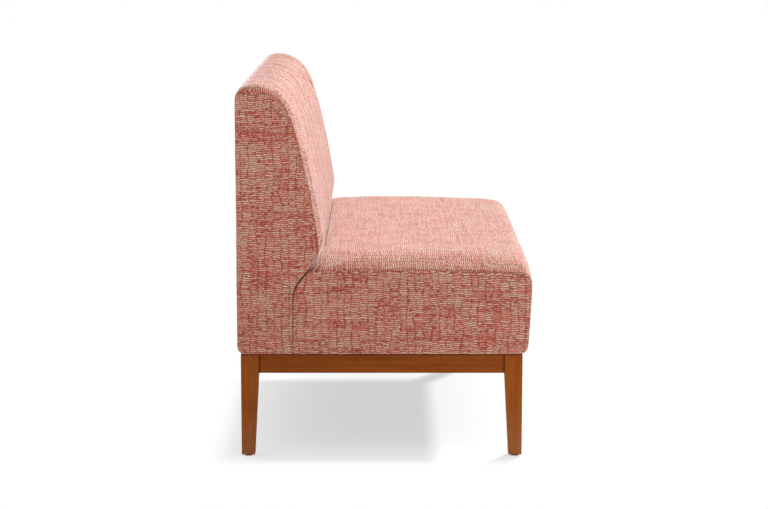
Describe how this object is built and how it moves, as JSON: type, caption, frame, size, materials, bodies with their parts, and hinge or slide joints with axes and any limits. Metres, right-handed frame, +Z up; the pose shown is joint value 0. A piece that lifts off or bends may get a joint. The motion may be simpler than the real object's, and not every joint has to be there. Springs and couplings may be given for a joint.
{
  "type": "banquette",
  "caption": "Upholstered two-seat banquette with a wedge-shaped padded back and a padded seat block in woven cloth on a stained wooden base with tapered legs and levelling glides.",
  "frame": {"origin": "centre of the object's box on the floor", "axes": "+X along the seat's width, the front faces -Y, +Z up"},
  "size_m": [1.22, 0.694, 0.887],
  "materials": {
    "stained_wood": "satin",
    "frame_wood": "matte",
    "plywood": "matte",
    "hardboard": "matte",
    "woven_cloth": "matte",
    "foam": "matte",
    "felt": "matte",
    "webbing": "matte",
    "underside_cloth": "matte",
    "zinc_steel": "satin",
    "spring_steel": "satin",
    "insert_brass": "satin",
    "glide_nylon": "matte"
  },
  "bodies": {
    "frame": {"leg_front_left": "stained_wood", "leg_front_right": "stained_wood", "leg_rear_left": "stained_wood", "leg_rear_right": "stained_wood", "base_front_rail": "stained_wood", "base_rear_rail": "stained_wood", "base_left_rail": "stained_wood", "base_right_rail": "stained_wood", "base_center_rail": "stained_wood", "corner_block_front_left": "frame_wood", "corner_block_front_right": "frame_wood", "corner_block_rear_left": "frame_wood", "corner_block_rear_right": "frame_wood", "seat_front_rail": "frame_wood", "seat_rear_rail": "frame_wood", "seat_left_rail": "frame_wood", "seat_right_rail": "frame_wood", "seat_center_rail": "frame_wood", "seat_dowels": "frame_wood", "back_rib_left": "plywood", "back_rib_center": "plywood", "back_rib_right": "plywood", "back_top_rail": "plywood", "back_waist_rail": "plywood", "back_front_foot_rail": "plywood", "back_rear_foot_rail": "plywood", "back_board": "hardboard", "seat_cover": "woven_cloth", "seat_cover_left": "woven_cloth", "seat_cover_right": "woven_cloth", "back_cover": "woven_cloth", "back_cover_left": "woven_cloth", "back_cover_right": "woven_cloth", "seat_foam": "foam", "back_foam": "foam", "spring_pad": "felt", "back_webbing": "webbing", "dust_cover": "underside_cloth", "corner_block_screws": "zinc_steel", "base_screws": "zinc_steel", "back_bolts": "zinc_steel", "back_washers": "zinc_steel", "back_nuts": "zinc_steel", "spring_clips": "zinc_steel", "clip_nails": "zinc_steel", "seat_springs": "spring_steel", "glide_inserts": "insert_brass"},
    "pad_front_left": {"glide_pad_front_left": "glide_nylon"},
    "stem_front_left": {"glide_stem_front_left": "zinc_steel"},
    "pad_front_right": {"glide_pad_front_right": "glide_nylon"},
    "stem_front_right": {"glide_stem_front_right": "zinc_steel"},
    "pad_rear_left": {"glide_pad_rear_left": "glide_nylon"},
    "stem_rear_left": {"glide_stem_rear_left": "zinc_steel"},
    "pad_rear_right": {"glide_pad_rear_right": "glide_nylon"},
    "stem_rear_right": {"glide_stem_rear_right": "zinc_steel"}
  },
  "joints": [
    {"name": "level_front_left", "type": "slide", "parent": "frame", "child": "pad_front_left", "axis": [0, 0, -1], "range_m": [0, 0.012]},
    {"name": "screw_front_left", "type": "hinge", "parent": "pad_front_left", "child": "stem_front_left", "pos_m": [-0.58025, -0.31225, 0], "axis": [0, 0, -1], "range_deg": [0, 3460]},
    {"name": "level_front_right", "type": "slide", "parent": "frame", "child": "pad_front_right", "axis": [0, 0, -1], "range_m": [0, 0.012]},
    {"name": "screw_front_right", "type": "hinge", "parent": "pad_front_right", "child": "stem_front_right", "pos_m": [0.58025, -0.31225, 0], "axis": [0, 0, -1], "range_deg": [0, 3460]},
    {"name": "level_rear_left", "type": "slide", "parent": "frame", "child": "pad_rear_left", "axis": [0, 0, -1], "range_m": [0, 0.012]},
    {"name": "screw_rear_left", "type": "hinge", "parent": "pad_rear_left", "child": "stem_rear_left", "pos_m": [-0.58025, 0.32325, 0], "axis": [0, 0, -1], "range_deg": [0, 3460]},
    {"name": "level_rear_right", "type": "slide", "parent": "frame", "child": "pad_rear_right", "axis": [0, 0, -1], "range_m": [0, 0.012]},
    {"name": "screw_rear_right", "type": "hinge", "parent": "pad_rear_right", "child": "stem_rear_right", "pos_m": [0.58025, 0.32325, 0], "axis": [0, 0, -1], "range_deg": [0, 3460]}
  ],
  "couplings": [
    {"joint": "screw_front_left", "follows": "level_front_left", "rad_per_m": 5026.5},
    {"joint": "screw_front_right", "follows": "level_front_right", "rad_per_m": 5026.5},
    {"joint": "screw_rear_left", "follows": "level_rear_left", "rad_per_m": 5026.5},
    {"joint": "screw_rear_right", "follows": "level_rear_right", "rad_per_m": 5026.5}
  ]
}
